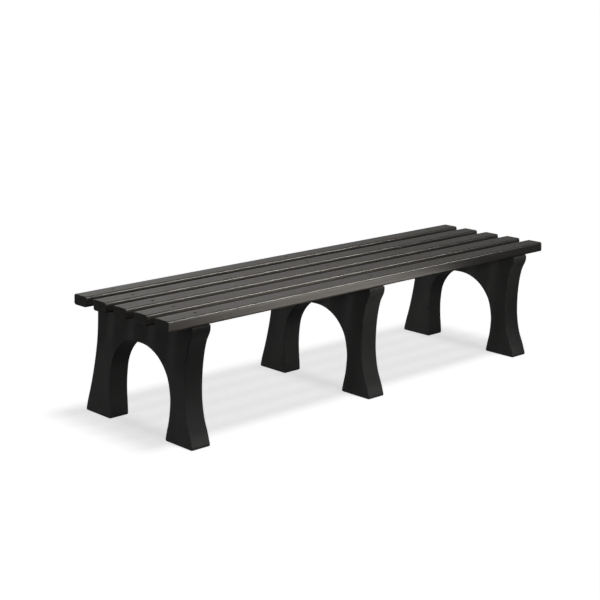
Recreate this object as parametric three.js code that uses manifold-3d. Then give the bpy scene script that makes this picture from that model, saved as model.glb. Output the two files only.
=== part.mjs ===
// Backless bench: five lengthwise slats screwed down onto three alike arched legs.
// Units are millimetres, +Z is up. The origin is on the floor, halfway along the bench and
// about midway between the front and back feet.
// +X runs along the bench. The front is -Y: the legs have their nose on that side.

import * as THREE from "three";
import { mergeVertices } from "three/addons/utils/BufferGeometryUtils.js";
import Module from "manifold-3d";

// ---------------------------------------------------------------- driving dimensions
const BENCH_LENGTH = 2000; // slats, end to end
const SEAT_HEIGHT = 460; // floor to the slats' top faces

const SLAT_WIDTH = 74;
const SLAT_THICKNESS = 39;
const SLAT_EDGE_RADIUS = 8; // rounding of the four long edges
const SLAT_PITCH = 117.5; // centre to centre across the seat
const SEAT_SHIFT_Y = -36; // the seat sits forward of the middle of the feet

const LEG_THICKNESS = 80; // along X
const LEG_SPACING = 857; // centre to centre along X
const LEG_HEIGHT = SEAT_HEIGHT - SLAT_THICKNESS;
const LEG_EDGE_ROUND = 3; // rounding between the flat faces and the curved edges
const FOOT_CORNER = 10; // rounding of the feet's lower corners, seen from the end
const TOP_CORNER = 7; // rounding of the upper corners, seen from the end

const HOLE_DIAMETER = 12; // recess for the screw head, from the slat's top face
const HOLE_DEPTH = 13;
const CLEARANCE_DIAMETER = 7; // the rest of the way through the slat
const PILOT_DIAMETER = 6.6; // blind hole in the leg
const PILOT_DEPTH = 54;

const SCREW_HEAD_DIAMETER = 11;
const SCREW_HEAD_HEIGHT = 4;
const SCREW_HEAD_CHAMFER = 0.8; // around the top of the head
const SCREW_SHANK_DIAMETER = 6;
const SCREW_LENGTH = 75; // under the head
const SCREW_TIP = 6; // length of the pointed end
const SOCKET_FLATS = 5; // six-sided driving recess, flat to flat
const SOCKET_DEPTH = 2.2;

// How far a cutting cylinder reaches past the face it opens.
const HOLE_OVERSHOOT = 5;
const SOCKET_OVERSHOOT = 2;

const SLAT_HOLE_SEGMENTS = 24;
const PILOT_SEGMENTS = 20;
const SCREW_SEGMENTS = 20;
const CORNER_STEPS = 5; // in each rounded corner of the leg's outline

// Slats from front to back, and legs from -X to +X.
const SLATS = ["front", "front_inner", "centre", "back_inner", "back"].map((name, i) => ({
  name,
  y: SEAT_SHIFT_Y + (i - 2) * SLAT_PITCH,
}));
const LEGS = ["left", "middle", "right"].map((name, i) => ({
  name,
  x: (i - 1) * LEG_SPACING,
}));

// ---------------------------------------------------------------- leg outline tables
// Front outer edge, from the foot to the top: flare, waist, then the nose under the front slat.
// Columns: distance forward of the origin, height.
const FRONT_EDGE = [
  [308.6, 0], [296.2, 41], [276.6, 92], [265.8, 153],
  [264.8, 215], [270.0, 276], [279.4, 328], [290.6, 364],
  [303.6, 388], [308.7, 403], [308.7, LEG_HEIGHT],
];
// Back outer edge, from the foot to the top: a similar flare, then a plain post.
// Columns: Y, height.
const BACK_EDGE = [
  [311.1, 0], [300.0, 41], [283.4, 92],
  [266.4, 153], [252.4, 215], [242.2, 276],
  [238.4, 328], [237.3, 378], [237.0, LEG_HEIGHT],
];
// Arched opening, from the back foot over the top to the front foot.
// Columns: Y, height.
const ARCH = [
  [157.6, 0], [159.2, 36], [162.4, 72], [163.6, 113],
  [161.0, 154], [148.3, 215], [113.4, 267], [61.8, 302.4],
  [0, 312.6],
  [-64.1, 306.6], [-123.6, 277.2], [-168.0, 223.3], [-184.2, 154],
  [-182.4, 112.7], [-176.0, 71.7], [-166.2, 36], [-157.6, 0],
];

// ---------------------------------------------------------------- solids
const wasm = await Module();
wasm.setup();

// Normals and UVs are dropped first, so that vertices at the same place merge into a closed solid.
function solidFrom(geometry) {
  geometry.deleteAttribute("normal");
  geometry.deleteAttribute("uv");
  const merged = mergeVertices(geometry, 1e-4);
  return new wasm.Manifold(
    new wasm.Mesh({
      numProp: 3,
      vertProperties: new Float32Array(merged.attributes.position.array),
      triVerts: new Uint32Array(merged.index.array),
    }),
  );
}

function geometryFrom(solid) {
  const { vertProperties, triVerts } = solid.getMesh();
  const indexed = new THREE.BufferGeometry();
  indexed.setAttribute("position", new THREE.BufferAttribute(vertProperties, 3));
  indexed.setIndex(new THREE.BufferAttribute(triVerts, 1));
  const flat = indexed.toNonIndexed();
  flat.computeVertexNormals();
  return flat;
}

function uprightCylinder({ diameter, bottom, top, x = 0, y = 0, segments }) {
  const radius = diameter / 2;
  const cylinder = new THREE.CylinderGeometry(radius, radius, top - bottom, segments)
    .rotateX(Math.PI / 2)
    .translate(x, y, (bottom + top) / 2);
  return solidFrom(cylinder);
}

// Turns an extrusion so that its shape lies in the bench's YZ plane and its depth runs along X.
const ALONG_X = new THREE.Matrix4().makeBasis(
  new THREE.Vector3(0, 1, 0),
  new THREE.Vector3(0, 0, 1),
  new THREE.Vector3(1, 0, 0),
);

// ---------------------------------------------------------------- materials
function slatPlastic() {
  return new THREE.MeshStandardMaterial({ color: 0x5e5a56, roughness: 0.55, metalness: 0 });
}

function legPlastic() {
  return new THREE.MeshStandardMaterial({ color: 0x262626, roughness: 0.5, metalness: 0 });
}

function screwSteel() {
  return new THREE.MeshStandardMaterial({ color: 0x8f8d89, roughness: 0.35, metalness: 1 });
}

// ---------------------------------------------------------------- slat
// A rounded rectangle, standing on its lower edge's middle.
function slatSection() {
  const side = SLAT_WIDTH / 2;
  const top = SLAT_THICKNESS;
  const radius = SLAT_EDGE_RADIUS;
  const section = new THREE.Shape();
  section.moveTo(-side + radius, 0);
  section.lineTo(side - radius, 0);
  section.absarc(side - radius, radius, radius, -Math.PI / 2, 0, false);
  section.lineTo(side, top - radius);
  section.absarc(side - radius, top - radius, radius, 0, Math.PI / 2, false);
  section.lineTo(-side + radius, top);
  section.absarc(-side + radius, top - radius, radius, Math.PI / 2, Math.PI, false);
  section.lineTo(-side, radius);
  section.absarc(-side + radius, radius, radius, Math.PI, (3 * Math.PI) / 2, false);
  return section;
}

// Local frame: middle of the slat's underside, +Z up.
function slatGeometry() {
  const bar = new THREE.ExtrudeGeometry(slatSection(), {
    depth: BENCH_LENGTH,
    steps: 1,
    curveSegments: 6,
    bevelEnabled: false,
  })
    .translate(0, 0, -BENCH_LENGTH / 2)
    .applyMatrix4(ALONG_X);
  let solid = solidFrom(bar);
  for (const { x } of LEGS) {
    const recess = uprightCylinder({
      diameter: HOLE_DIAMETER,
      bottom: SLAT_THICKNESS - HOLE_DEPTH,
      top: SLAT_THICKNESS + HOLE_OVERSHOOT,
      x,
      segments: SLAT_HOLE_SEGMENTS,
    });
    const clearance = uprightCylinder({
      diameter: CLEARANCE_DIAMETER,
      bottom: -HOLE_OVERSHOOT,
      top: SLAT_THICKNESS + HOLE_OVERSHOOT,
      x,
      segments: SLAT_HOLE_SEGMENTS,
    });
    solid = solid.subtract(recess).subtract(clearance);
  }
  return geometryFrom(solid);
}

// ---------------------------------------------------------------- leg
// An evenly spaced run of points along a smooth curve through the table's points.
function smoothRun(table, divisions) {
  const curve = new THREE.CatmullRomCurve3(
    table.map(([across, height]) => new THREE.Vector3(across, height, 0)),
    false,
    "centripetal",
  );
  curve.arcLengthDivisions = 800;
  return curve.getSpacedPoints(divisions).map((p) => new THREE.Vector2(p.x, p.y));
}

// Joins the points of next to run, rounding the corner at run's last point.
// Points of either that lie within the radius of the corner are dropped.
function joinRounded(run, next, radius) {
  const corner = run[run.length - 1];
  const isClear = (point) => point.distanceTo(corner) > radius;
  const towards = (point) => point.clone().sub(corner).setLength(radius).add(corner);
  const before = run.filter(isClear);
  const after = next.filter(isClear);
  const arc = new THREE.QuadraticBezierCurve(
    towards(before[before.length - 1]),
    corner.clone(),
    towards(after[0]),
  );
  return [...before, ...arc.getPoints(CORNER_STEPS), ...after];
}

// Anticlockwise with Y to the right and Z up: up the back, forward along the top, down the
// front, along the front foot, over the arch to the back foot, and along the back foot.
function legOutline() {
  const upBack = smoothRun(BACK_EDGE, 30);
  const downFront = smoothRun(FRONT_EDGE, 38)
    .map((p) => new THREE.Vector2(-p.x, p.y))
    .reverse();
  const overArch = smoothRun(ARCH, 64).reverse();

  let outline = upBack;
  outline = joinRounded(outline, [downFront[0]], TOP_CORNER);
  outline = joinRounded(outline, downFront, TOP_CORNER);
  outline = joinRounded(outline, [overArch[0]], FOOT_CORNER);
  outline = joinRounded(outline, overArch, FOOT_CORNER);
  outline = joinRounded(outline, [upBack[0]], FOOT_CORNER);
  // The last corner is also the start of the back edge, so rounding it drops the outline's first
  // point too. The second point, used to aim the arc, is then both first and last.
  outline = joinRounded(outline, [upBack[1]], FOOT_CORNER);
  return outline.slice(0, -1);
}

// Local frame: on the floor at the middle of the leg's thickness, with Y as for the bench.
function legGeometry() {
  const body = new THREE.ExtrudeGeometry(new THREE.Shape(legOutline()), {
    depth: LEG_THICKNESS - 2 * LEG_EDGE_ROUND,
    steps: 1,
    bevelEnabled: true,
    bevelThickness: LEG_EDGE_ROUND,
    bevelSize: LEG_EDGE_ROUND,
    bevelOffset: -LEG_EDGE_ROUND,
    bevelSegments: 2,
  })
    .translate(0, 0, -LEG_THICKNESS / 2 + LEG_EDGE_ROUND)
    .applyMatrix4(ALONG_X);
  let solid = solidFrom(body);
  for (const { y } of SLATS) {
    const pilot = uprightCylinder({
      diameter: PILOT_DIAMETER,
      bottom: LEG_HEIGHT - PILOT_DEPTH,
      top: LEG_HEIGHT + HOLE_OVERSHOOT,
      y,
      segments: PILOT_SEGMENTS,
    });
    solid = solid.subtract(pilot);
  }
  return geometryFrom(solid);
}

// ---------------------------------------------------------------- screw
// Local frame: under the head, on the axis, +Z up. Flat cylindrical head with a six-sided recess.
function screwGeometry() {
  const headRadius = SCREW_HEAD_DIAMETER / 2;
  const shankRadius = SCREW_SHANK_DIAMETER / 2;
  // Radius and height, from the point to the top of the head.
  const profile = [
    [0, -SCREW_LENGTH],
    [shankRadius, -SCREW_LENGTH + SCREW_TIP],
    [shankRadius, 0],
    [headRadius, 0],
    [headRadius, SCREW_HEAD_HEIGHT - SCREW_HEAD_CHAMFER],
    [headRadius - SCREW_HEAD_CHAMFER, SCREW_HEAD_HEIGHT],
    [0, SCREW_HEAD_HEIGHT],
  ].map(([radius, height]) => new THREE.Vector2(radius, height));
  const turned = new THREE.LatheGeometry(profile, SCREW_SEGMENTS).rotateX(Math.PI / 2);
  const socket = uprightCylinder({
    diameter: (SOCKET_FLATS * 2) / Math.sqrt(3), // across the hexagon's corners
    bottom: SCREW_HEAD_HEIGHT - SOCKET_DEPTH,
    top: SCREW_HEAD_HEIGHT + SOCKET_OVERSHOOT,
    segments: 6,
  });
  return geometryFrom(solidFrom(turned).subtract(socket));
}

// ---------------------------------------------------------------- assembly
function addPiece(group, name, geometry, material, position) {
  const piece = new THREE.Mesh(geometry.clone(), material);
  piece.name = name;
  piece.position.set(...position);
  group.add(piece);
}

function buildLegs() {
  const legs = new THREE.Group();
  const geometry = legGeometry();
  for (const leg of LEGS)
    addPiece(legs, "leg_" + leg.name, geometry, legPlastic(), [leg.x, 0, 0]);
  return legs;
}

// The slats and their screws, in a group whose floor is the top of the legs.
function buildSeat() {
  const seat = new THREE.Group();
  seat.position.set(0, 0, LEG_HEIGHT);
  const slatShape = slatGeometry();
  const screwShape = screwGeometry();
  const recessFloor = SLAT_THICKNESS - HOLE_DEPTH;
  for (const slat of SLATS) {
    addPiece(seat, "slat_" + slat.name, slatShape, slatPlastic(), [0, slat.y, 0]);
    for (const leg of LEGS) {
      const name = "screw_" + leg.name + "_" + slat.name;
      addPiece(seat, name, screwShape, screwSteel(), [leg.x, slat.y, recessFloor]);
    }
  }
  return seat;
}

const bench = new THREE.Group();
bench.name = "backless_bench";
bench.add(buildLegs(), buildSeat());

export default bench;
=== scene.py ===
import bpy, bmesh
import math
import numpy as np
from mathutils import Vector, Matrix, noise


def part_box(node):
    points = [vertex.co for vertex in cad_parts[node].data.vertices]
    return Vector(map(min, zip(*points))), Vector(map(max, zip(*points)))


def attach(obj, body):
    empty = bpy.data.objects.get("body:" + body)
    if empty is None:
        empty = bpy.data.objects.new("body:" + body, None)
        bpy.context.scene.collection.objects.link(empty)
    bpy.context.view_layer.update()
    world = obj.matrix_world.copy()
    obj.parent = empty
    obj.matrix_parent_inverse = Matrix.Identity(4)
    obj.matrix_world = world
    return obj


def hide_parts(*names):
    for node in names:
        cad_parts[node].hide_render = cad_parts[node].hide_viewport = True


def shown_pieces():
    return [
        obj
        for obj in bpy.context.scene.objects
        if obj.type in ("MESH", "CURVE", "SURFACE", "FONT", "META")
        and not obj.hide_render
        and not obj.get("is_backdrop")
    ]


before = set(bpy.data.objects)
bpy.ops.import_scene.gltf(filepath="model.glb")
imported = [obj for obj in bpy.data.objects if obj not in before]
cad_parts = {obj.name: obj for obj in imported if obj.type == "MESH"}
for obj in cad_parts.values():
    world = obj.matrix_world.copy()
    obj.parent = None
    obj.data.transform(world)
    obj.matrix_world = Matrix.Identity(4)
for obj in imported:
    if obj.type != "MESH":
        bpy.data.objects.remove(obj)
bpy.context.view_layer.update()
MM = 0.001

SLATS = ["front", "front_inner", "centre", "back_inner", "back"]
LEGS = ["left", "middle", "right"]

# ------------------------------------------------------------------ helpers


def link(obj):
    bpy.context.scene.collection.objects.link(obj)
    return obj


def mesh_object(name, verts, faces, mats):
    me = bpy.data.meshes.new(name)
    me.from_pydata([tuple(v) for v in verts], [], faces)
    me.validate(clean_customdata=False)
    me.update()
    for m in mats:
        me.materials.append(m)
    return link(bpy.data.objects.new(name, me))


def smooth_with_sharp(obj, angle_deg=38.0):
    """Smooth shading, with hard edges where two faces meet at more than the angle."""
    me = obj.data
    bm = bmesh.new()
    bm.from_mesh(me)
    lim = math.radians(angle_deg)
    for e in bm.edges:
        e.smooth = not (len(e.link_faces) == 2 and e.calc_face_angle(0.0) > lim)
    for f in bm.faces:
        f.smooth = True
    bm.to_mesh(me)
    bm.free()
    me.update()


def weighted_normals(obj):
    m = obj.modifiers.new("even_normals", "WEIGHTED_NORMAL")
    m.mode = "FACE_AREA"
    m.weight = 60
    m.keep_sharp = True


def float_attribute(obj, name, values):
    a = obj.data.attributes.new(name, "FLOAT", "POINT")
    a.data.foreach_set("value", np.asarray(values, np.float32))


def smoothstep(e0, e1, x):
    t = min(1.0, max(0.0, (x - e0) / (e1 - e0)))
    return t * t * (3 - 2 * t)


# ------------------------------------------------------------------ node material kit


class Nodes:
    def __init__(self, name):
        self.mat = bpy.data.materials.new(name)
        self.mat.use_nodes = True
        self.nt = self.mat.node_tree
        self.nt.nodes.clear()
        self.out = self.nt.nodes.new("ShaderNodeOutputMaterial")
        self.bsdf = self.nt.nodes.new("ShaderNodeBsdfPrincipled")
        self.link(self.bsdf.outputs[0], self.out.inputs["Surface"])

    def link(self, a, b):
        self.nt.links.new(a, b)

    def node(self, kind, **props):
        n = self.nt.nodes.new(kind)
        for k, v in props.items():
            setattr(n, k, v)
        return n

    def put(self, socket, value):
        if hasattr(value, "is_output"):
            self.link(value, socket)
        else:
            socket.default_value = value

    def math(self, op, a, b=0.0, clamp=False):
        n = self.node("ShaderNodeMath", operation=op, use_clamp=clamp)
        self.put(n.inputs[0], a)
        self.put(n.inputs[1], b)
        return n.outputs[0]

    def coords(self, scale, kind="Object", offset=(0, 0, 0)):
        t = self.node("ShaderNodeTexCoord")
        m = self.node("ShaderNodeMapping")
        self.link(t.outputs[kind], m.inputs["Vector"])
        m.inputs["Scale"].default_value = scale
        m.inputs["Location"].default_value = offset
        return m.outputs["Vector"]

    def noise(self, vec, scale=1.0, detail=3.0, rough=0.55, distortion=0.0, w=None):
        n = self.node("ShaderNodeTexNoise")
        n.noise_dimensions = "4D" if w is not None else "3D"
        self.link(vec, n.inputs["Vector"])
        if w is not None:
            self.put(n.inputs["W"], w)
        n.inputs["Scale"].default_value = scale
        n.inputs["Detail"].default_value = detail
        n.inputs["Roughness"].default_value = rough
        n.inputs["Distortion"].default_value = distortion
        return n.outputs["Fac"]

    def ramp(self, fac, stops, interp="LINEAR"):
        n = self.node("ShaderNodeValToRGB")
        n.color_ramp.interpolation = interp
        els = n.color_ramp.elements
        while len(els) < len(stops):
            els.new(0.5)
        for e, (p, c) in zip(els, stops):
            e.position = p
            e.color = (c, c, c, 1) if isinstance(c, (int, float)) else (*c, 1)
        self.link(fac, n.inputs["Fac"])
        return n.outputs["Color"]

    def remap(self, x, a0, a1, b0, b1):
        n = self.node("ShaderNodeMapRange")
        self.put(n.inputs[0], x)
        for i, v in enumerate((a0, a1, b0, b1)):
            n.inputs[i + 1].default_value = v
        return n.outputs[0]

    def mix(self, fac, a, b, blend="MIX"):
        n = self.node("ShaderNodeMix", data_type="RGBA", blend_type=blend)
        self.put(n.inputs["Factor"], fac)
        for key, v in ((6, a), (7, b)):
            if hasattr(v, "is_output"):
                self.link(v, n.inputs[key])
            else:
                n.inputs[key].default_value = (*v, 1) if len(v) == 3 else v
        return n.outputs[2]

    def attribute(self, name):
        n = self.node("ShaderNodeAttribute", attribute_name=name)
        return n.outputs["Fac"]

    def object_random(self):
        return self.node("ShaderNodeObjectInfo").outputs["Random"]

    def bump(self, height, distance, strength=1.0, normal=None):
        n = self.node("ShaderNodeBump")
        self.put(n.inputs["Height"], height)
        n.inputs["Distance"].default_value = distance
        self.put(n.inputs["Strength"], strength)
        if normal is not None:
            self.link(normal, n.inputs["Normal"])
        return n.outputs["Normal"]


def plank_material():
    """Extruded recycled plastic plank: grey-brown, lengthwise flow streaks and flecks, satin skin, rougher sawn ends
    whose colour is painted darker as painted shade.
    """
    n = Nodes("plank_recycled_plastic")
    seed = n.math("MULTIPLY", n.object_random(), 37.0)
    flow = n.noise(n.coords((2.2, 38, 38)), 1.0, 5, 0.6, 0.6, w=seed)
    fine = n.noise(n.coords((9, 420, 420)), 1.0, 3, 0.5, 0.0, w=seed)
    cloud = n.noise(n.coords((3.5, 9, 9)), 1.0, 3, 0.5, 0.4, w=seed)
    fleck = n.noise(n.coords((150, 620, 620)), 1.0, 2, 0.5, 0.0, w=seed)
    edge = n.attribute("edge_round")
    end = n.attribute("end_face")
    hole = n.attribute("hole_near")
    base = n.ramp(flow, [(0.30, (0.050, 0.0465, 0.0425)), (0.52, (0.060, 0.0560, 0.0515)), (0.72, (0.072, 0.0670, 0.0615))])
    base = n.mix(n.remap(cloud, 0.35, 0.65, 0.0, 1.0), n.mix(1.0, base, (0.93, 0.95, 0.98), "MULTIPLY"), n.mix(1.0, base, (1.06, 1.03, 1.0), "MULTIPLY"))
    base = n.mix(n.remap(fine, 0.35, 0.65, 0.0, 0.35), base, n.mix(1.0, base, (0.80, 0.80, 0.81), "MULTIPLY"))
    light_fleck = n.remap(fleck, 0.66, 0.74, 0.0, 0.45)
    dark_fleck = n.remap(fleck, 0.34, 0.26, 0.0, 0.5)
    base = n.mix(light_fleck, base, (0.125, 0.115, 0.103))
    base = n.mix(dark_fleck, base, (0.026, 0.0245, 0.0235))
    # a little polishing and lightening along the rounded edges, broken up lengthwise
    worn = n.math("MULTIPLY", edge, n.remap(n.noise(n.coords((14, 60, 60)), 1.0, 4, 0.6, 0.0, w=seed), 0.40, 0.70, 0.32, 0.52))
    base = n.mix(worn, base, (0.105, 0.097, 0.087))
    # end faces: rougher, with fine pores and saw lines; their colour is painted much darker than the plank as painted
    # shade for the unlit ends
    pores = n.noise(n.coords((900, 900, 900)), 1.0, 2, 0.5, 0.0, w=seed)
    saw = n.noise(n.coords((60, 60, 1500)), 1.0, 2, 0.5, 0.2, w=seed)
    # painted shade: the end colour stands in for the shade on the ends, with the pores as real mottling
    end_col_painted_shade = n.mix(n.remap(pores, 0.42, 0.60, 0.0, 1.0), (0.0085, 0.0077, 0.0070), (0.0265, 0.0238, 0.0212))
    base = n.mix(end, base, end_col_painted_shade)
    # dust and shade gathered by the screw holes
    base = n.mix(n.math("MULTIPLY", hole, 0.35), base, (0.03, 0.028, 0.026))
    n.link(base, n.bsdf.inputs["Base Color"])
    rough = n.remap(cloud, 0.3, 0.7, 0.34, 0.42)
    rough = n.math("ADD", rough, n.remap(fine, 0.3, 0.7, -0.03, 0.05))
    # the rounded edges are evenly polished
    rough = n.math("SUBTRACT", rough, n.math("MULTIPLY", n.math("MULTIPLY", edge, 0.92), n.math("SUBTRACT", rough, 0.208)))
    rough = n.math("ADD", rough, n.math("MULTIPLY", end, 0.30), clamp=True)
    n.link(rough, n.bsdf.inputs["Roughness"])
    n.bsdf.inputs["IOR"].default_value = 1.49
    n.bsdf.inputs["Specular IOR Level"].default_value = 0.5
    # the relief dies out on the rounded edges, which come off the die smooth
    flat = n.math("SUBTRACT", 1.0, n.math("MULTIPLY", edge, 0.85))
    lines = n.bump(fine, 0.00010, n.math("MULTIPLY", flat, 0.7))
    sink = n.bump(flow, 0.00035, n.math("MULTIPLY", flat, 0.5), lines)
    grain = n.bump(fleck, 0.00006, n.math("MULTIPLY", flat, 0.6), sink)
    sawn = n.bump(n.math("MULTIPLY", n.math("ADD", saw, pores), end), 0.0006, 0.8, grain)
    n.link(sawn, n.bsdf.inputs["Normal"])
    return n.mat


def leg_material():
    """Moulded recycled plastic: near black, faint cloudy flow marks, fine pebbled skin."""
    n = Nodes("leg_moulded_plastic")
    seed = n.math("MULTIPLY", n.object_random(), 23.0)
    cloud = n.noise(n.coords((7, 7, 4)), 1.0, 4, 0.55, 0.8, w=seed)
    swirl = n.noise(n.coords((26, 26, 13)), 1.0, 5, 0.6, 1.6, w=seed)
    pebble = n.noise(n.coords((520, 520, 520)), 1.0, 3, 0.55, 0.0)
    speck = n.noise(n.coords((310, 310, 310)), 1.0, 2, 0.5, 0.0, w=seed)
    edge = n.attribute("edge_round")
    base = n.ramp(cloud, [(0.30, (0.0115, 0.0115, 0.0117)), (0.55, (0.0155, 0.0153, 0.0151)), (0.75, (0.0200, 0.0195, 0.0190))])
    base = n.mix(n.remap(swirl, 0.45, 0.62, 0.0, 0.45), base, (0.022, 0.0213, 0.0208))
    base = n.mix(n.remap(speck, 0.69, 0.75, 0.0, 0.6), base, (0.06, 0.058, 0.055))
    worn = n.math("MULTIPLY", edge, n.remap(n.noise(n.coords((40, 40, 40)), 1.0, 4, 0.65, 0.0, w=seed), 0.45, 0.70, 0.0, 0.55))
    base = n.mix(worn, base, (0.050, 0.048, 0.046))
    n.link(base, n.bsdf.inputs["Base Color"])
    rough = n.remap(cloud, 0.3, 0.7, 0.54, 0.45)
    rough = n.math("ADD", rough, n.remap(swirl, 0.3, 0.7, -0.04, 0.06), clamp=True)
    n.link(rough, n.bsdf.inputs["Roughness"])
    n.bsdf.inputs["IOR"].default_value = 1.49
    b = n.bump(pebble, 0.00007, 0.8)
    b = n.bump(swirl, 0.00025, 0.45, b)
    n.link(b, n.bsdf.inputs["Normal"])
    return n.mat


def screw_material():
    """Stainless steel: mottled grey with a fine bump, slightly dulled."""
    n = Nodes("screw_stainless_steel")
    base = n.mix(n.noise(n.coords((300, 300, 300)), 1.0, 3), (0.36, 0.35, 0.335), (0.52, 0.51, 0.49))
    n.link(base, n.bsdf.inputs["Base Color"])
    n.bsdf.inputs["Metallic"].default_value = 1.0
    n.link(n.remap(n.noise(n.coords((900, 900, 900)), 1.0, 3), 0.3, 0.7, 0.26, 0.46), n.bsdf.inputs["Roughness"])
    n.link(n.bump(n.noise(n.coords((1400, 1400, 1400)), 1.0, 2), 0.00003, 0.6), n.bsdf.inputs["Normal"])
    return n.mat


# ------------------------------------------------------------------ slats

SLAT_EDGE_R = 8.0 * MM
HOLE_R = 6.0 * MM
HOLE_DEPTH = 13.0 * MM
BORE_R = 3.5 * MM
HOLE_CHAMFER = 0.7 * MM
END_CHAMFER = 1.0 * MM
PATCH = 10.0 * MM


def build_slat(cad_name, piece_name, mat, seed):
    lo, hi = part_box(cad_name)
    length, w, t = hi.x - lo.x, hi.y - lo.y, hi.z - lo.z
    cy, cz, cx = (lo.y + hi.y) / 2, (lo.z + hi.z) / 2, (lo.x + hi.x) / 2
    hw, ht, r = w / 2, t / 2, SLAT_EDGE_R
    holes = [(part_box("leg_" + l)[0].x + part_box("leg_" + l)[1].x) / 2 - cx for l in LEGS]

    # section, anticlockwise seen from +X (y to the right, z up); kind: 0 flat, 1 edge rounding
    cols = [c * MM for c in (-10, -7.5, -5, -2.5, 0, 2.5, 5, 7.5, 10)]
    sec = []
    tag = {}

    def arc(yc, zc, a0, n=8):
        for k in range(n + 1):
            a = math.radians(a0 + 90.0 * k / n)
            sec.append((yc + r * math.cos(a), zc + r * math.sin(a), 1.0 if 0 < k < n else 0.45))

    arc(hw - r, -ht + r, 270)
    sec.append((hw, -ht + r + (t - 2 * r) / 3, 0.0))
    sec.append((hw, -ht + r + 2 * (t - 2 * r) / 3, 0.0))
    arc(hw - r, ht - r, 0)
    side = [19.5 * MM]
    for y in side:
        sec.append((y, ht, 0.0))
    tag["top"] = [len(sec) + k for k in range(len(cols))]
    for y in reversed(cols):
        sec.append((y, ht, 0.0))
    for y in side:
        sec.append((-y, ht, 0.0))
    arc(-hw + r, ht - r, 90)
    sec.append((-hw, -ht + r + 2 * (t - 2 * r) / 3, 0.0))
    sec.append((-hw, -ht + r + (t - 2 * r) / 3, 0.0))
    arc(-hw + r, -ht + r, 180)
    for y in side:
        sec.append((-y, -ht, 0.0))
    tag["bottom"] = [len(sec) + k for k in range(len(cols))]
    for y in cols:
        sec.append((y, -ht, 0.0))
    for y in side:
        sec.append((y, -ht, 0.0))
    ns = len(sec)

    # stations along the length
    hl = length / 2
    xs = set()
    for h in holes:
        for c in cols:
            xs.add(round(h + c, 7))
    base = [round(-hl + END_CHAMFER + (length - 2 * END_CHAMFER) * k / 96, 7) for k in range(97)]
    for x in base:
        if all(abs(x - h) > PATCH + 4 * MM for h in holes):
            xs.add(x)
    xs = sorted(xs)
    top, bot = tag["top"], tag["bottom"]

    verts, edge_attr, end_attr, hole_attr = [], [], [], []

    def wob(x, y, z):
        """A shallow, smooth unevenness of the moulded faces, inwards only, nil at the legs and holes."""
        calm = min(smoothstep(0.045, 0.11, abs(x - h)) for h in holes)
        q = noise.noise(Vector((x * 7.0 + seed * 3.1, y * 9.0, z * 9.0 + seed)))
        q2 = noise.noise(Vector((x * 19.0 + seed, y * 22.0, seed * 1.7)))
        return calm * (0.14 * MM * (1 + q) + 0.05 * MM * (1 + q2))

    def add(x, y, z, e=0.0, n=0.0, h=0.0, wobble=True):
        if wobble:
            a = wob(x, y, z)
            y -= a * (y / hw)
            z -= a * (z / ht) if z > 0 else 0.0
        verts.append((cx + x, cy + y, cz + z))
        edge_attr.append(e)
        end_attr.append(n)
        hole_attr.append(h)
        return len(verts) - 1

    grid = []
    for x in xs:
        grid.append([add(x, y, z, e) for (y, z, e) in sec])
    faces = []

    def hole_cell(x0, x1):
        m = (x0 + x1) / 2
        return any(abs(m - h) < PATCH for h in holes)

    top_cells, bot_cells = set(top[:-1]), set(bot[:-1])
    for i in range(len(xs) - 1):
        for j in range(ns):
            k = (j + 1) % ns
            if (j in top_cells or j in bot_cells) and hole_cell(xs[i], xs[i + 1]):
                continue
            faces.append((grid[i][j], grid[i + 1][j], grid[i + 1][k], grid[i][k]))

    # sawn ends: a small chamfer, then a flat cap in rings
    for side_sign, row in ((-1, grid[0]), (1, grid[-1])):
        x_edge = side_sign * (hl - END_CHAMFER)
        rings = [row]
        for f, dx, en in ((1 - END_CHAMFER / ht, 0.0, 1.0),):
            ring = []
            for (y, z, e) in sec:
                yy = math.copysign(max(abs(y) - END_CHAMFER, 0), y)
                zz = math.copysign(max(abs(z) - END_CHAMFER, 0), z)
                ring.append(add(side_sign * hl, yy, zz, 0.0, 1.0, 0.0, False))
            rings.append(ring)
        for a, b in zip(rings[:-1], rings[1:]):
            for j in range(ns):
                k = (j + 1) % ns
                q = (a[j], a[k], b[k], b[j]) if side_sign > 0 else (a[j], b[j], b[k], a[k])
                faces.append(q)
        last = rings[-1]
        # duplicate ring so that the end-face mask stops at the cap, then fill
        faces.append(tuple(last) if side_sign > 0 else tuple(reversed(last)))

    # screw holes
    for h in holes:
        i0 = min(range(len(xs)), key=lambda i: abs(xs[i] - (h - PATCH)))
        m = len(cols) - 1
        for which, rows in (("top", top), ("bottom", bot)):
            up = which == "top"
            # boundary of the square patch, in order, starting at (+x, +y) corner going anticlockwise seen from +Z
            idx = {}
            for a in range(m + 1):
                for b in range(m + 1):
                    col = rows[m - b] if up else rows[b]  # b counts from -y to +y
                    idx[(a, b)] = grid[i0 + a][col]
            ring = []
            for b in range(0, m):
                ring.append((m, b))
            for a in range(m, 0, -1):
                ring.append((a, m))
            for b in range(m, 0, -1):
                ring.append((0, b))
            for a in range(0, m):
                ring.append((a, 0))
            pts = [idx[p] for p in ring]
            ang = []
            for p in pts:
                v = verts[p]
                ang.append(math.atan2(v[1] - cy, v[0] - cx - h))

            def circle(rad, z, hv=1.0, e=0.0):
                return [add(h + rad * math.cos(a), rad * math.sin(a), z, e, 0.0, hv, False) for a in ang]

            def strip(p, q, flip):
                for k in range(len(p)):
                    l = (k + 1) % len(p)
                    faces.append((p[k], p[l], q[l], q[k]) if not flip else (p[k], q[k], q[l], p[l]))

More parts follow.
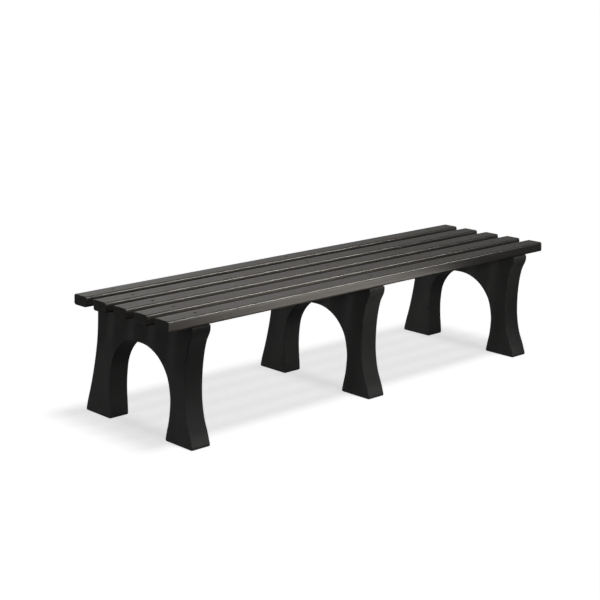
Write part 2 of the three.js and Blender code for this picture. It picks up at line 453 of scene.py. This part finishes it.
            if up:
                z0 = ht
                rim = [pts, circle(HOLE_R + 2.2 * MM, z0, 0.25), circle(HOLE_R + HOLE_CHAMFER, z0, 0.6), circle(HOLE_R, z0 - HOLE_CHAMFER, 1.0),
                       circle(HOLE_R, z0 - HOLE_DEPTH, 1.0), circle(BORE_R, z0 - HOLE_DEPTH, 1.0)]
                for a, b in zip(rim[:-1], rim[1:]):
                    strip(a, b, False)
                top_end = rim[-1]
            else:
                rim = [pts, circle(BORE_R + 2.0 * MM, -ht, 0.0), circle(BORE_R, -ht, 1.0)]
                for a, b in zip(rim[:-1], rim[1:]):
                    strip(a, b, True)
                bottom_end = rim[-1]
        strip(top_end, bottom_end, False)

    obj = mesh_object(piece_name, verts, faces, [mat])
    float_attribute(obj, "edge_round", edge_attr)
    float_attribute(obj, "end_face", end_attr)
    float_attribute(obj, "hole_near", hole_attr)
    bm = bmesh.new()
    bm.from_mesh(obj.data)
    bmesh.ops.recalc_face_normals(bm, faces=bm.faces)
    bm.to_mesh(obj.data)
    bm.free()
    smooth_with_sharp(obj, 34)
    weighted_normals(obj)
    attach(obj, "root")
    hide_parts(cad_name)
    return obj


# ------------------------------------------------------------------ legs

LEG_FILLET = 3.0 * MM
FILLET_STEPS = 4
CAP_ROWS = 12


def cad_outline(cad_name):
    """The leg's outline in YZ, in order, read from the CAD node where its rounding starts."""
    lo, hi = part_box(cad_name)
    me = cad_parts[cad_name].data
    co = np.array([v.co for v in me.vertices], float)
    keys = {}
    ids = np.zeros(len(co), int)
    for i, p in enumerate(co):
        ids[i] = keys.setdefault(tuple(np.round(p / 2e-6).astype(int)), len(keys))
    place = {}
    for i, p in enumerate(co):
        place[ids[i]] = p
    plane = lo.x + LEG_FILLET
    on = {k for k, p in place.items() if abs(p[0] - plane) < 2e-5}
    nb = {k: set() for k in on}
    for poly in me.polygons:
        v = [ids[i] for i in poly.vertices]
        for a, b in zip(v, v[1:] + v[:1]):
            if a in on and b in on:
                nb[a].add(b)
                nb[b].add(a)
    start = min(on)
    path, prev = [start], None
    while True:
        nxt = [k for k in nb[path[-1]] if k != prev]
        prev = path[-1]
        if not nxt or nxt[0] == start and len(path) > 2:
            break
        if nxt[0] in path:
            break
        path.append(nxt[0])
    pts = np.array([[place[k][1], place[k][2]] for k in path])
    area = 0.5 * np.sum(pts[:, 0] * np.roll(pts[:, 1], -1) - np.roll(pts[:, 0], -1) * pts[:, 1])
    return pts[::-1] if area < 0 else pts


def catmull(points, per):
    """Centripetal Catmull-Rom through open points, per steps a span."""
    p = np.asarray(points, float)
    ext = np.vstack([2 * p[0] - p[1], p, 2 * p[-1] - p[-2]])
    out = []
    for i in range(1, len(ext) - 2):
        p0, p1, p2, p3 = ext[i - 1 : i + 3]
        t0 = 0.0
        t1 = t0 + max(np.linalg.norm(p1 - p0), 1e-9) ** 0.5
        t2 = t1 + max(np.linalg.norm(p2 - p1), 1e-9) ** 0.5
        t3 = t2 + max(np.linalg.norm(p3 - p2), 1e-9) ** 0.5
        for k in range(per):
            t = t1 + (t2 - t1) * k / per
            a1 = (t1 - t) / (t1 - t0) * p0 + (t - t0) / (t1 - t0) * p1
            a2 = (t2 - t) / (t2 - t1) * p1 + (t - t1) / (t2 - t1) * p2
            a3 = (t3 - t) / (t3 - t2) * p2 + (t - t2) / (t3 - t2) * p3
            b1 = (t2 - t) / (t2 - t0) * a1 + (t - t0) / (t2 - t0) * a2
            b2 = (t3 - t) / (t3 - t1) * a2 + (t - t1) / (t3 - t1) * a3
            out.append((t2 - t) / (t2 - t1) * b1 + (t - t1) / (t2 - t1) * b2)
    out.append(p[-1])
    return np.array(out)


def resample(points, count, step=7.0 * MM, turn=math.radians(16)):
    """count spans along the smooth curve through points, closer together where it turns."""
    d = catmull(points, 10)
    seg = np.diff(d, axis=0)
    ln = np.linalg.norm(seg, axis=1)
    ang = np.unwrap(np.arctan2(seg[:, 1], seg[:, 0]))
    dth = np.abs(np.gradient(ang)) if len(ang) > 2 else np.zeros(len(ang))
    w = ln / step + dth / turn
    s = np.concatenate([[0], np.cumsum(w)])
    want = np.linspace(0, s[-1], count + 1)
    return np.stack([np.interp(want, s, d[:, 0]), np.interp(want, s, d[:, 1])], 1)


def leg_mesh(cad_name):
    """Vertices and faces of one leg about its own middle in X: a quad mesh, with the outline swept through the thickness and closed by ladder-shaped caps."""
    lo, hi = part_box(cad_name)
    pts = cad_outline(cad_name)
    top_z = hi.z
    n = len(pts)
    # key points: two on each foot's underside, two on the top
    low = [i for i in range(n) if pts[i, 1] < lo.z + 2e-5]
    high = [i for i in range(n) if pts[i, 1] > top_z - 2e-5]
    low.sort(key=lambda i: pts[i, 0])
    o_front, i_front, i_back, o_back = low[0], low[1], low[-2], low[-1]
    high.sort(key=lambda i: pts[i, 0])
    t_front, t_back = high[0], high[-1]

    def chain(a, b):
        idx = [a]
        while idx[-1] != b:
            idx.append((idx[-1] + 1) % n)
        return pts[idx]

    # anticlockwise: outer back foot -> up the back -> top -> down the front -> front foot -> over the arch -> back foot
    back = chain(o_back, t_back)
    top = chain(t_back, t_front)
    front = chain(t_front, o_front)
    arch = chain(i_front, i_back)
    n1, n2, n3 = 78, 62, 84
    outer = np.vstack([resample(back, n1)[:-1], resample(top, n2)[:-1], resample(front, n3)])
    total = n1 + n2 + n3
    inner = resample(arch[::-1], total)  # back foot -> front foot, to pair with outer
    k = CAP_ROWS
    foot_back = np.array([inner[0] + (outer[0] - inner[0]) * j / k for j in range(1, k)])
    foot_front = np.array([outer[-1] + (inner[-1] - outer[-1]) * j / k for j in range(1, k)])
    loop = np.vstack([outer, foot_front, inner[::-1], foot_back])
    loop[:, 1] = np.clip(loop[:, 1], lo.z, top_z)
    m = len(loop)
    # inward normals
    prv, nxt = np.roll(loop, 1, 0), np.roll(loop, -1, 0)
    e1, e2 = loop - prv, nxt - loop
    e1 /= np.linalg.norm(e1, axis=1)[:, None]
    e2 /= np.linalg.norm(e2, axis=1)[:, None]
    tan = e1 + e2
    tan /= np.linalg.norm(tan, axis=1)[:, None]
    inward = np.stack([-tan[:, 1], tan[:, 0]], 1)

    half = (hi.x - lo.x) / 2
    r = LEG_FILLET
    # stations across the thickness: (x, inset, edge weight)
    stations = [(-half + r * (1 - math.cos(math.radians(90.0 * s / FILLET_STEPS))), r * (1 - math.sin(math.radians(90.0 * s / FILLET_STEPS))), 1.0 if 0 < s < FILLET_STEPS else 0.5) for s in range(FILLET_STEPS + 1)]
    flat = 8
    mids = [(-half + r + (2 * half - 2 * r) * j / flat, 0.0, 0.0) for j in range(1, flat)]
    stations = stations + mids + [(-x, inset, e) for (x, inset, e) in reversed(stations)]
    verts, edge = [], []
    rows = []
    for (x, inset, e) in stations:
        row = []
        for p, q in zip(loop, inward):
            v = p + q * inset
            row.append(len(verts))
            verts.append([x, v[0], v[1]])
            edge.append(e)
        rows.append(row)
    faces = []
    for a, b in zip(rows[:-1], rows[1:]):
        for j in range(m):
            l = (j + 1) % m
            faces.append((a[j], b[j], b[l], a[l]))
    # caps
    no = total + 1
    for row, sign in ((rows[0], -1), (rows[-1], 1)):
        o = row[:no]
        ff = row[no : no + k - 1]
        i_rev = row[no + k - 1 : no + k - 1 + no]
        i = i_rev[::-1]
        fb = row[no + k - 1 + no :]
        x = verts[row[0]][0]
        lines = [o]
        for j in range(1, k):
            line = []
            for s in range(no):
                if s == 0:
                    line.append(fb[k - 1 - j])
                elif s == total:
                    line.append(ff[j - 1])
                else:
                    po, pi_ = np.array(verts[o[s]][1:]), np.array(verts[i[s]][1:])
                    v = po + (pi_ - po) * j / k
                    line.append(len(verts))
                    verts.append([x, v[0], v[1]])
                    edge.append(0.0)
            lines.append(line)
        lines.append(i)
        for a, b in zip(lines[:-1], lines[1:]):
            for s in range(total):
                q = (a[s], a[s + 1], b[s + 1], b[s])
                faces.append(q if sign > 0 else tuple(reversed(q)))
    return np.array(verts), faces, edge


def build_leg(cad_name, piece_name, mat, shape, seed):
    lo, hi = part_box(cad_name)
    cx = (lo.x + hi.x) / 2
    base, faces, edge = shape
    verts = base.copy()
    half = (hi.x - lo.x) / 2
    # a shallow unevenness of the moulded faces, inwards only, nil on the feet and under the slats
    for i, v in enumerate(verts):
        calm = smoothstep(0.004, 0.03, v[2] - lo.z) * smoothstep(0.003, 0.02, hi.z - v[2])
        q = noise.noise(Vector((v[0] * 11 + seed * 5.3, v[1] * 10 + seed, v[2] * 8)))
        q2 = noise.noise(Vector((v[0] * 27 + seed, v[1] * 27, v[2] * 22 + seed)))
        a = calm * (0.20 * MM * (1 + q) + 0.06 * MM * (1 + q2))
        v[0] -= a * (v[0] / half) ** 5 if abs(v[0]) > 0.9 * half else 0.0
    verts[:, 0] += cx
    obj = mesh_object(piece_name, verts, faces, [mat])
    float_attribute(obj, "edge_round", edge)
    bm = bmesh.new()
    bm.from_mesh(obj.data)
    bmesh.ops.recalc_face_normals(bm, faces=bm.faces)
    bm.to_mesh(obj.data)
    bm.free()
    # pilot holes for the screws, cut from the top
    cutter = bmesh.new()
    for s in SLATS:
        b0, b1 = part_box("screw_" + cad_name.split("_")[1] + "_" + s)
        y = (b0.y + b1.y) / 2
        z0 = b0.z - 4 * MM
        z1 = hi.z + 3 * MM
        bmesh.ops.create_cone(cutter, cap_ends=True, segments=32, radius1=3.3 * MM, radius2=3.3 * MM, depth=z1 - z0,
                              matrix=Matrix.Translation((cx, y, (z0 + z1) / 2)))
    cm = bpy.data.meshes.new(piece_name + "_cut")
    cutter.to_mesh(cm)
    cutter.free()
    co = link(bpy.data.objects.new(piece_name + "_cut", cm))
    mod = obj.modifiers.new("pilot_holes", "BOOLEAN")
    mod.operation = "DIFFERENCE"
    mod.solver = "EXACT"
    mod.object = co
    bpy.context.view_layer.update()
    dg = bpy.context.evaluated_depsgraph_get()
    cut = bpy.data.meshes.new_from_object(obj.evaluated_get(dg))
    obj.modifiers.clear()
    old = obj.data
    obj.data = cut
    bpy.data.meshes.remove(old)
    bpy.data.objects.remove(co)
    smooth_with_sharp(obj, 36)
    weighted_normals(obj)
    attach(obj, "root")
    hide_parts(cad_name)
    return obj


# ------------------------------------------------------------------ screws


def screw_mesh(cad_name):
    """A pan-head screw about its axis, z = 0 under the head: a six-sided recess, a plain neck, a rolled thread and a point."""
    lo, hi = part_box(cad_name)
    head_r = (hi.x - lo.x) / 2
    head_h = 4.0 * MM
    length = (hi.z - lo.z) - head_h
    verts, faces = [], []
    seg = 24

    def ring(r, z, n=seg):
        out = []
        for k in range(n):
            a = 2 * math.pi * k / n
            out.append(len(verts))
            verts.append((r * math.cos(a), r * math.sin(a), z))
        return out

    def strip(a, b):
        n = len(a)
        for k in range(n):
            l = (k + 1) % n
            faces.append((a[k], a[l], b[l], b[k]))

    core, crest, pitch, tip = 2.15 * MM, 2.97 * MM, 4.4 * MM, 7.0 * MM
    thread_top = -17.0 * MM
    steps = int((length + thread_top) / (pitch / 8))
    rows = []
    z = -length
    tipv = len(verts)
    verts.append((0, 0, -length))
    for s in range(1, steps + 1):
        z = -length + (length + thread_top) * s / steps
        row = []
        fade_top = smoothstep(0, 3.0 * MM, thread_top - z)
        cone = smoothstep(0.0, 1.0, (z + length) / tip)
        for k in range(seg):
            a = 2 * math.pi * k / seg
            ph = (z / pitch - k / seg) % 1.0
            d = abs(ph - 0.5) / 0.5
            ridge = max(0.0, 1 - d / 0.55)
            rr = (core + (crest - core) * ridge * fade_top) * (0.10 + 0.90 * min(1.0, (z + length) / tip))
            row.append(len(verts))
            verts.append((rr * math.cos(a), rr * math.sin(a), z))
        rows.append(row)
    for k in range(seg):
        faces.append((tipv, rows[0][(k + 1) % seg], rows[0][k]))
    for a, b in zip(rows[:-1], rows[1:]):
        strip(a, b)
    neck = [ring(2.5 * MM, thread_top + 1.2 * MM), ring(2.5 * MM, -1.0 * MM), ring(2.95 * MM, 0.0)]
    strip(rows[-1], neck[0])
    for a, b in zip(neck[:-1], neck[1:]):
        strip(a, b)
    prof = [(head_r - 0.35 * MM, 0.0), (head_r, 0.35 * MM), (head_r, 2.2 * MM), (head_r - 0.25 * MM, 2.9 * MM), (head_r - 0.9 * MM, 3.55 * MM), (head_r - 1.9 * MM, 3.92 * MM), (3.5 * MM, head_h)]
    last = neck[-1]
    for r_, z_ in prof:
        nr = ring(r_, z_)
        strip(last, nr)
        last = nr
    # six-sided recess
    flats = 5.0 * MM

    def hexring(z_, grow=0.0):
        out = []
        for k in range(seg):
            a = 2 * math.pi * k / seg
            b = (a + math.pi / 6) % (math.pi / 3) - math.pi / 6
            rr = (flats / 2 + grow) / math.cos(b)
            out.append(len(verts))
            verts.append((rr * math.cos(a), rr * math.sin(a), z_))
        return out

    h0 = hexring(head_h, 0.2 * MM)
    strip(last, h0)
    h1 = hexring(head_h - 0.25 * MM)
    strip(h0, h1)
    h2 = hexring(head_h - 2.2 * MM)
    strip(h1, h2)
    mid = ring(0.9 * MM, head_h - 2.7 * MM)
    strip(h2, mid)
    c = len(verts)
    verts.append((0, 0, head_h - 2.9 * MM))
    for k in range(seg):
        faces.append((mid[k], mid[(k + 1) % seg], c))
    return np.array(verts), faces


def build_screw(cad_name, piece_name, mat, shape, turn):
    lo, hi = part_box(cad_name)
    v, faces = shape
    c, s = math.cos(turn), math.sin(turn)
    z0 = hi.z - 4.0 * MM
    x0, y0 = (lo.x + hi.x) / 2, (lo.y + hi.y) / 2
    out = np.stack([v[:, 0] * c - v[:, 1] * s + x0, v[:, 0] * s + v[:, 1] * c + y0, v[:, 2] + z0], 1)
    obj = mesh_object(piece_name, out, faces, [mat])
    bm = bmesh.new()
    bm.from_mesh(obj.data)
    bmesh.ops.recalc_face_normals(bm, faces=bm.faces)
    bm.to_mesh(obj.data)
    bm.free()
    smooth_with_sharp(obj, 42)
    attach(obj, "root")
    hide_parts(cad_name)
    return obj


plank = plank_material()
moulded = leg_material()
steel = screw_material()

for i, s in enumerate(SLATS):
    build_slat("slat_" + s, "slat_" + s + "_plank", plank, i + 1)

leg_shape = leg_mesh("leg_left")
for i, l in enumerate(LEGS):
    build_leg("leg_" + l, "leg_" + l + "_moulding", moulded, leg_shape, i + 1)

screw_shape = screw_mesh("screw_left_front")
k = 0
for l in LEGS:
    for s in SLATS:
        build_screw("screw_" + l + "_" + s, "screw_" + l + "_" + s + "_threaded", steel, screw_shape, 0.9 * k * k + 0.35)
        k += 1

# ------------------------------------------------------------------ floor, world, lights

sc = bpy.context.scene
sc.view_settings.view_transform = "Standard"
sc.view_settings.look = "None"

# The photograph's view is taken with a dropped lens. The drop holds only while the camera stands at its station; from
# anywhere else the bench is seen straight on. The light is the same from everywhere.
STATION = Vector((-4.03760, -4.16619, 1.70651))
cam = bpy.data.cameras.new("photo_view")
cam_obj = link(bpy.data.objects.new("photo_view", cam))
station = link(bpy.data.objects.new("camera_station", None))
station.location = STATION


def by_station(owner, channel, here, away):
    """Drive a channel: one value with the camera at its station, another with it anywhere else."""
    fc = owner.driver_add(channel)
    fc.driver.type = "SUM"
    var = fc.driver.variables.new()
    var.name = "gap"
    var.type = "LOC_DIFF"
    var.targets[0].id = cam_obj
    var.targets[1].id = station
    for mod in list(fc.modifiers):
        fc.modifiers.remove(mod)
    fc.keyframe_points.add(3)
    for kp, (x, y) in zip(fc.keyframe_points, ((0.0, here), (0.02, here), (0.04, away))):
        kp.co = (x, y)
        kp.interpolation = "LINEAR"
    fc.extrapolation = "CONSTANT"
    fc.update()


FLOOR_GLOW = 0.685
FLOOR_ALBEDO = 0.80
FLOOR_BOUNCE = 0.17
fn = Nodes("floor_pale")
fn.nt.nodes.remove(fn.bsdf)
dif = fn.node("ShaderNodeBsdfDiffuse")
dif.inputs["Color"].default_value = (FLOOR_ALBEDO, FLOOR_ALBEDO, FLOOR_ALBEDO, 1)
em = fn.node("ShaderNodeEmission")
em.inputs["Strength"].default_value = FLOOR_GLOW
seen = fn.node("ShaderNodeAddShader")
fn.link(dif.outputs[0], seen.inputs[0])
fn.link(em.outputs[0], seen.inputs[1])
dim = fn.node("ShaderNodeBsdfDiffuse")
dim.inputs["Color"].default_value = (FLOOR_BOUNCE, FLOOR_BOUNCE, FLOOR_BOUNCE, 1)
which = fn.node("ShaderNodeMixShader")
fn.link(fn.node("ShaderNodeLightPath").outputs["Is Camera Ray"], which.inputs[0])
fn.link(dim.outputs[0], which.inputs[1])
fn.link(seen.outputs[0], which.inputs[2])
fn.link(which.outputs[0], fn.out.inputs["Surface"])
S = 120.0
floor = mesh_object("studio_floor", [(-S, -S, 0), (S, -S, 0), (S, S, 0), (-S, S, 0)], [(0, 1, 2, 3)], [fn.mat])
floor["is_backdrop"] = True

world = bpy.data.worlds.new("studio")
sc.world = world
world.use_nodes = True
wn = world.node_tree
wn.nodes.clear()


def wnode(kind, **props):
    n = wn.nodes.new(kind)
    for k, v in props.items():
        setattr(n, k, v)
    return n


def wmath(op, a, b=0.0):
    n = wnode("ShaderNodeMath", operation=op)
    for sock, v in zip(n.inputs, (a, b)):
        if hasattr(v, "is_output"):
            wn.links.new(v, sock)
        else:
            sock.default_value = v
    return n.outputs[0]


wdir = wnode("ShaderNodeVectorMath", operation="NORMALIZE")
wn.links.new(wnode("ShaderNodeTexCoord").outputs["Generated"], wdir.inputs[0])


def soft_glow(azimuth, elevation, strength, tightness=9.0):
    """A soft patch of light on the studio surround; azimuth is from +X towards +Y."""
    a, e = math.radians(azimuth), math.radians(elevation)
    dot = wnode("ShaderNodeVectorMath", operation="DOT_PRODUCT")
    wn.links.new(wdir.outputs[0], dot.inputs[0])
    dot.inputs[1].default_value = (math.cos(a) * math.cos(e), math.sin(a) * math.cos(e), math.sin(e))
    fall = wmath("EXPONENT", wmath("MULTIPLY", wmath("SUBTRACT", dot.outputs["Value"], 1.0), tightness))
    return wmath("MULTIPLY", fall, strength)


surround = soft_glow(77, 10, 1.37)
for az, el, power, tight in ((102, 10, 1.29, 9), (128, 10, 0.76, 9), (306, 3, 0.34, 12), (330, 6, 0.10, 12), (158, 4, 0.05, 9), (215, 14, 0.10, 9)):
    surround = wmath("ADD", surround, soft_glow(az, el, power, tight))
wout = wnode("ShaderNodeOutputWorld")
bg_cam = wnode("ShaderNodeBackground")
bg_cam.inputs["Color"].default_value = (1, 1, 1, 1)
bg_cam.inputs["Strength"].default_value = 1.0
bg_lit = wnode("ShaderNodeBackground")
bg_lit.inputs["Color"].default_value = (1.0, 0.982, 0.96, 1)
wn.links.new(surround, bg_lit.inputs["Strength"])
mixs = wnode("ShaderNodeMixShader")
wn.links.new(wnode("ShaderNodeLightPath").outputs["Is Camera Ray"], mixs.inputs[0])
wn.links.new(bg_lit.outputs[0], mixs.inputs[1])
wn.links.new(bg_cam.outputs[0], mixs.inputs[2])
wn.links.new(mixs.outputs[0], wout.inputs["Surface"])

# the surround is there for the sheen; the overhead key alone shades the floor
world.cycles_visibility.diffuse = False


def far_key(name, travel, energy, angle):
    l = bpy.data.lights.new(name, "SUN")
    l.energy = energy
    l.angle = math.radians(angle)
    o = link(bpy.data.objects.new(name, l))
    o.rotation_mode = "QUATERNION"
    o.rotation_quaternion = Vector(travel).to_track_quat("-Z", "Y")
    return o


far_key("key_overhead", (-0.03, 0.252, -0.968), 1.30, 16)
# falls on the outer sides of the legs through the gaps of the seat
side_key = far_key("side_key", (0.49, 0.15, -0.86), 1.45, 12)


def area(name, loc, target, sx, sy, power, diffuse=True, glossy=True, colour=(1, 1, 1), spread=180):
    l = bpy.data.lights.new(name, "AREA")
    l.shape = "RECTANGLE"
    l.size, l.size_y = sx, sy
    l.energy = power
    l.color = colour
    l.spread = math.radians(spread)
    o = link(bpy.data.objects.new(name, l))
    o.location = loc
    o.rotation_mode = "QUATERNION"
    o.rotation_quaternion = (Vector(target) - Vector(loc)).to_track_quat("-Z", "Y")
    o.visible_diffuse = diffuse
    o.visible_glossy = glossy
    o.visible_camera = False
    return o


card = area("front_card", (0.18, -0.94, 0.29), (-0.36, -0.308, 0.44), 1.36, 0.22, 2.30, diffuse=False, colour=(1.0, 0.975, 0.925))
card.data.shape = "ELLIPSE"
strip = area("front_strip", (-0.34, -0.98, 0.68), (-0.34, -0.308, 0.70), 0.80, 0.12, 4.6, glossy=False, colour=(1.0, 0.98, 0.94), spread=130)
kicker = area("edge_strip", (1.95, -1.75, 2.45), (1.95, -0.308, 0.455), 2.50, 0.28, 96.0, diffuse=False, colour=(1.0, 0.975, 0.92))
fill = area("leg_strip", (0.26, -0.98, 0.74), (0.26, -0.308, 0.95), 1.60, 0.12, 24.0, glossy=False, colour=(1.0, 0.99, 0.955), spread=130)

# the bright floor in front of the feet and the shaded floor between them, as the legs mirror them
apron = area("floor_apron", (-0.12, -0.43, 0.045), (-0.12, -0.29, 0.055), 2.20, 0.055, 0.52, diffuse=False, colour=(1.0, 0.99, 0.97))
under = area("floor_under", (-0.15, 0.18, 0.004), (-0.15, 0.18, 1.0), 2.30, 0.84, 0.33, colour=(1.0, 0.99, 0.97))

# low fills for the back and the right-hand sides: diffuse only, too low to light the tops
fills = [area("fill_" + n, p, (0, 0, 0.22), w, 0.36, e, glossy=False) for n, p, w, e in (
    ("back", (0, 2.9, 0.24), 2.4, 60.0), ("right", (3.6, 0, 0.24), 1.8, 70.0))]

# each lamp is given its own pieces, so that none of them marks the floor
for lamps, wanted in (((card, strip, kicker), ("slat_", "screw_")), ((fill, apron, under, side_key), ("leg_", "screw_")), (fills, ("slat_", "leg_", "screw_"))):
    for lamp in lamps:
        lit = bpy.data.collections.new(lamp.name + "_pieces")
        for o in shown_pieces():
            if o.name.startswith(wanted):
                lit.objects.link(o)
        lamp.light_linking.receiver_collection = lit

# ------------------------------------------------------------------ camera

cam.sensor_width = 36.0
cam.lens = 89.48559
cam.clip_start, cam.clip_end = 0.1, 400.0
right = Vector((0.733787572, -0.679367923, 0.003876006))
down = Vector((-0.025191180, -0.032909488, -0.999140816))
fwd = Vector((0.678911779, 0.733059472, -0.041262653))
m = Matrix((right, -down, -fwd)).transposed().to_4x4()
m.translation = STATION
cam_obj.matrix_world = m
sc.camera = cam_obj
by_station(cam, "shift_x", 0.019585, 0.0)
by_station(cam, "shift_y", -0.487697, 0.0)
